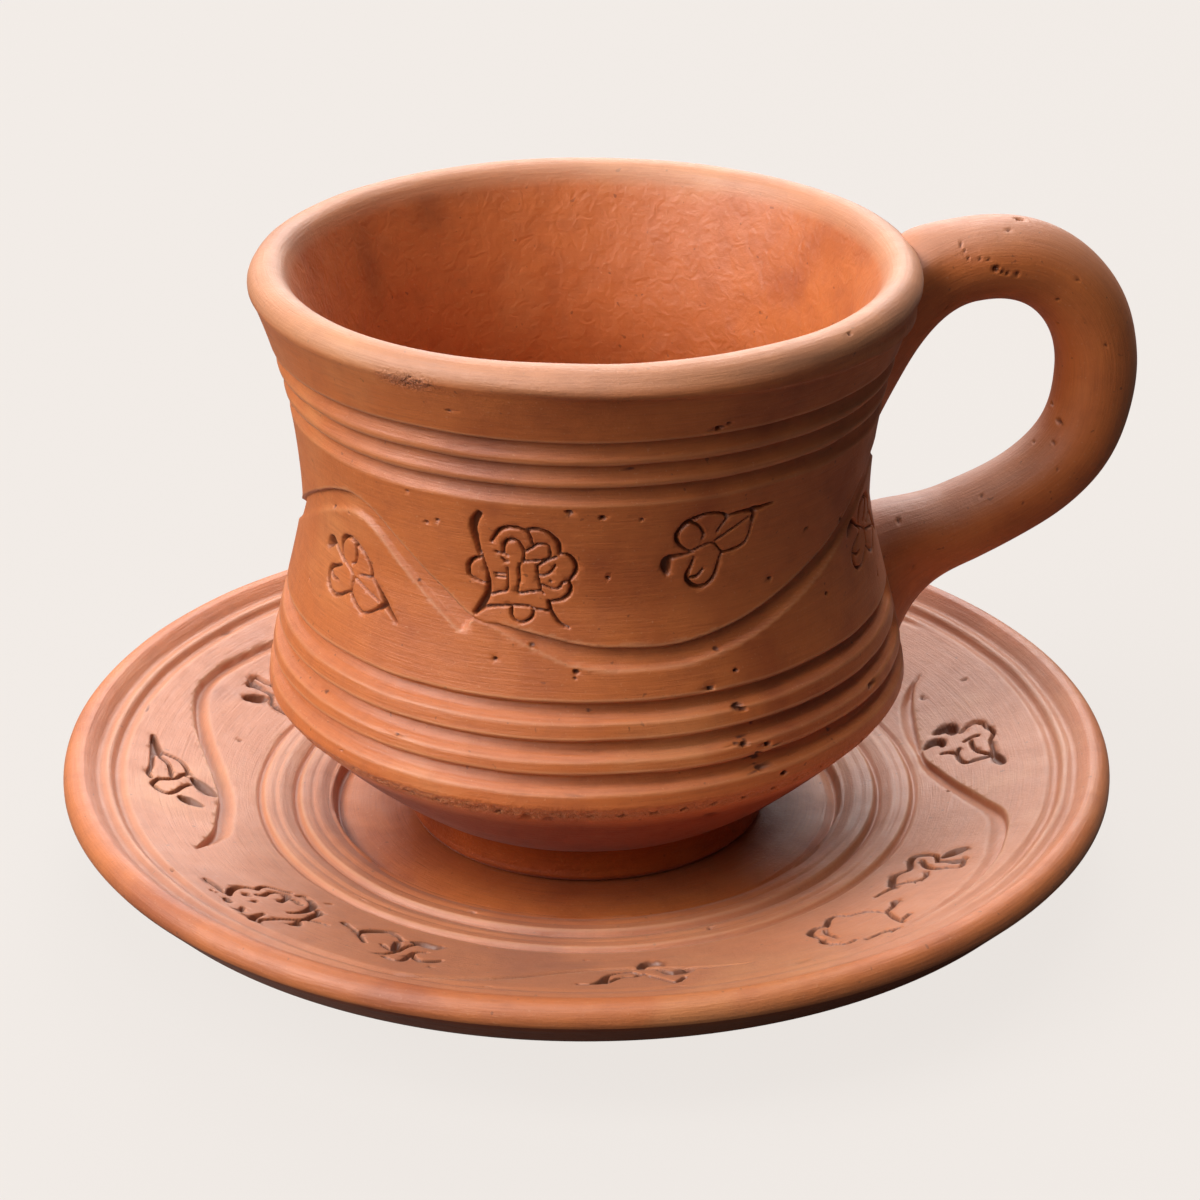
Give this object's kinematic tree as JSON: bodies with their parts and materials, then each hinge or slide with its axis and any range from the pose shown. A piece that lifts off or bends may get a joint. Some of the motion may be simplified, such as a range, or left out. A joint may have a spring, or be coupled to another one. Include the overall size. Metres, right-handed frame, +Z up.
{
  "type": "cup and saucer",
  "caption": "Unglazed clay cup with a flared lip, waisted wall and round loop handle, standing on its foot ring in the well of a shallow saucer with a rolled edge.",
  "frame": {"origin": "middle of the saucer's flat base, on the surface that it stands on", "axes": "+Z up along the turning axis of the cup and the saucer, +X from that axis towards the handle"},
  "size_m": [0.1489, 0.145, 0.0885],
  "materials": {
    "saucer_clay": "unglazed fired clay, matt",
    "cup_body_clay": "unglazed fired clay, matt",
    "cup_foot_clay": "unglazed fired clay, matt",
    "cup_handle_clay": "unglazed fired clay, matt",
    "handle_fillet_clay": "unglazed fired clay, matt"
  },
  "bodies": {
    "saucer": {"saucer": "saucer_clay"},
    "cup": {"cup_body": "cup_body_clay", "cup_foot": "cup_foot_clay", "cup_handle": "cup_handle_clay", "handle_upper_fillet": "handle_fillet_clay", "handle_lower_fillet": "handle_fillet_clay"}
  },
  "joints": [
    {"name": "cup_lift", "type": "slide", "parent": "saucer", "child": "cup", "axis": [0, 0, 1], "range_m": [0, 0.12]}
  ]
}
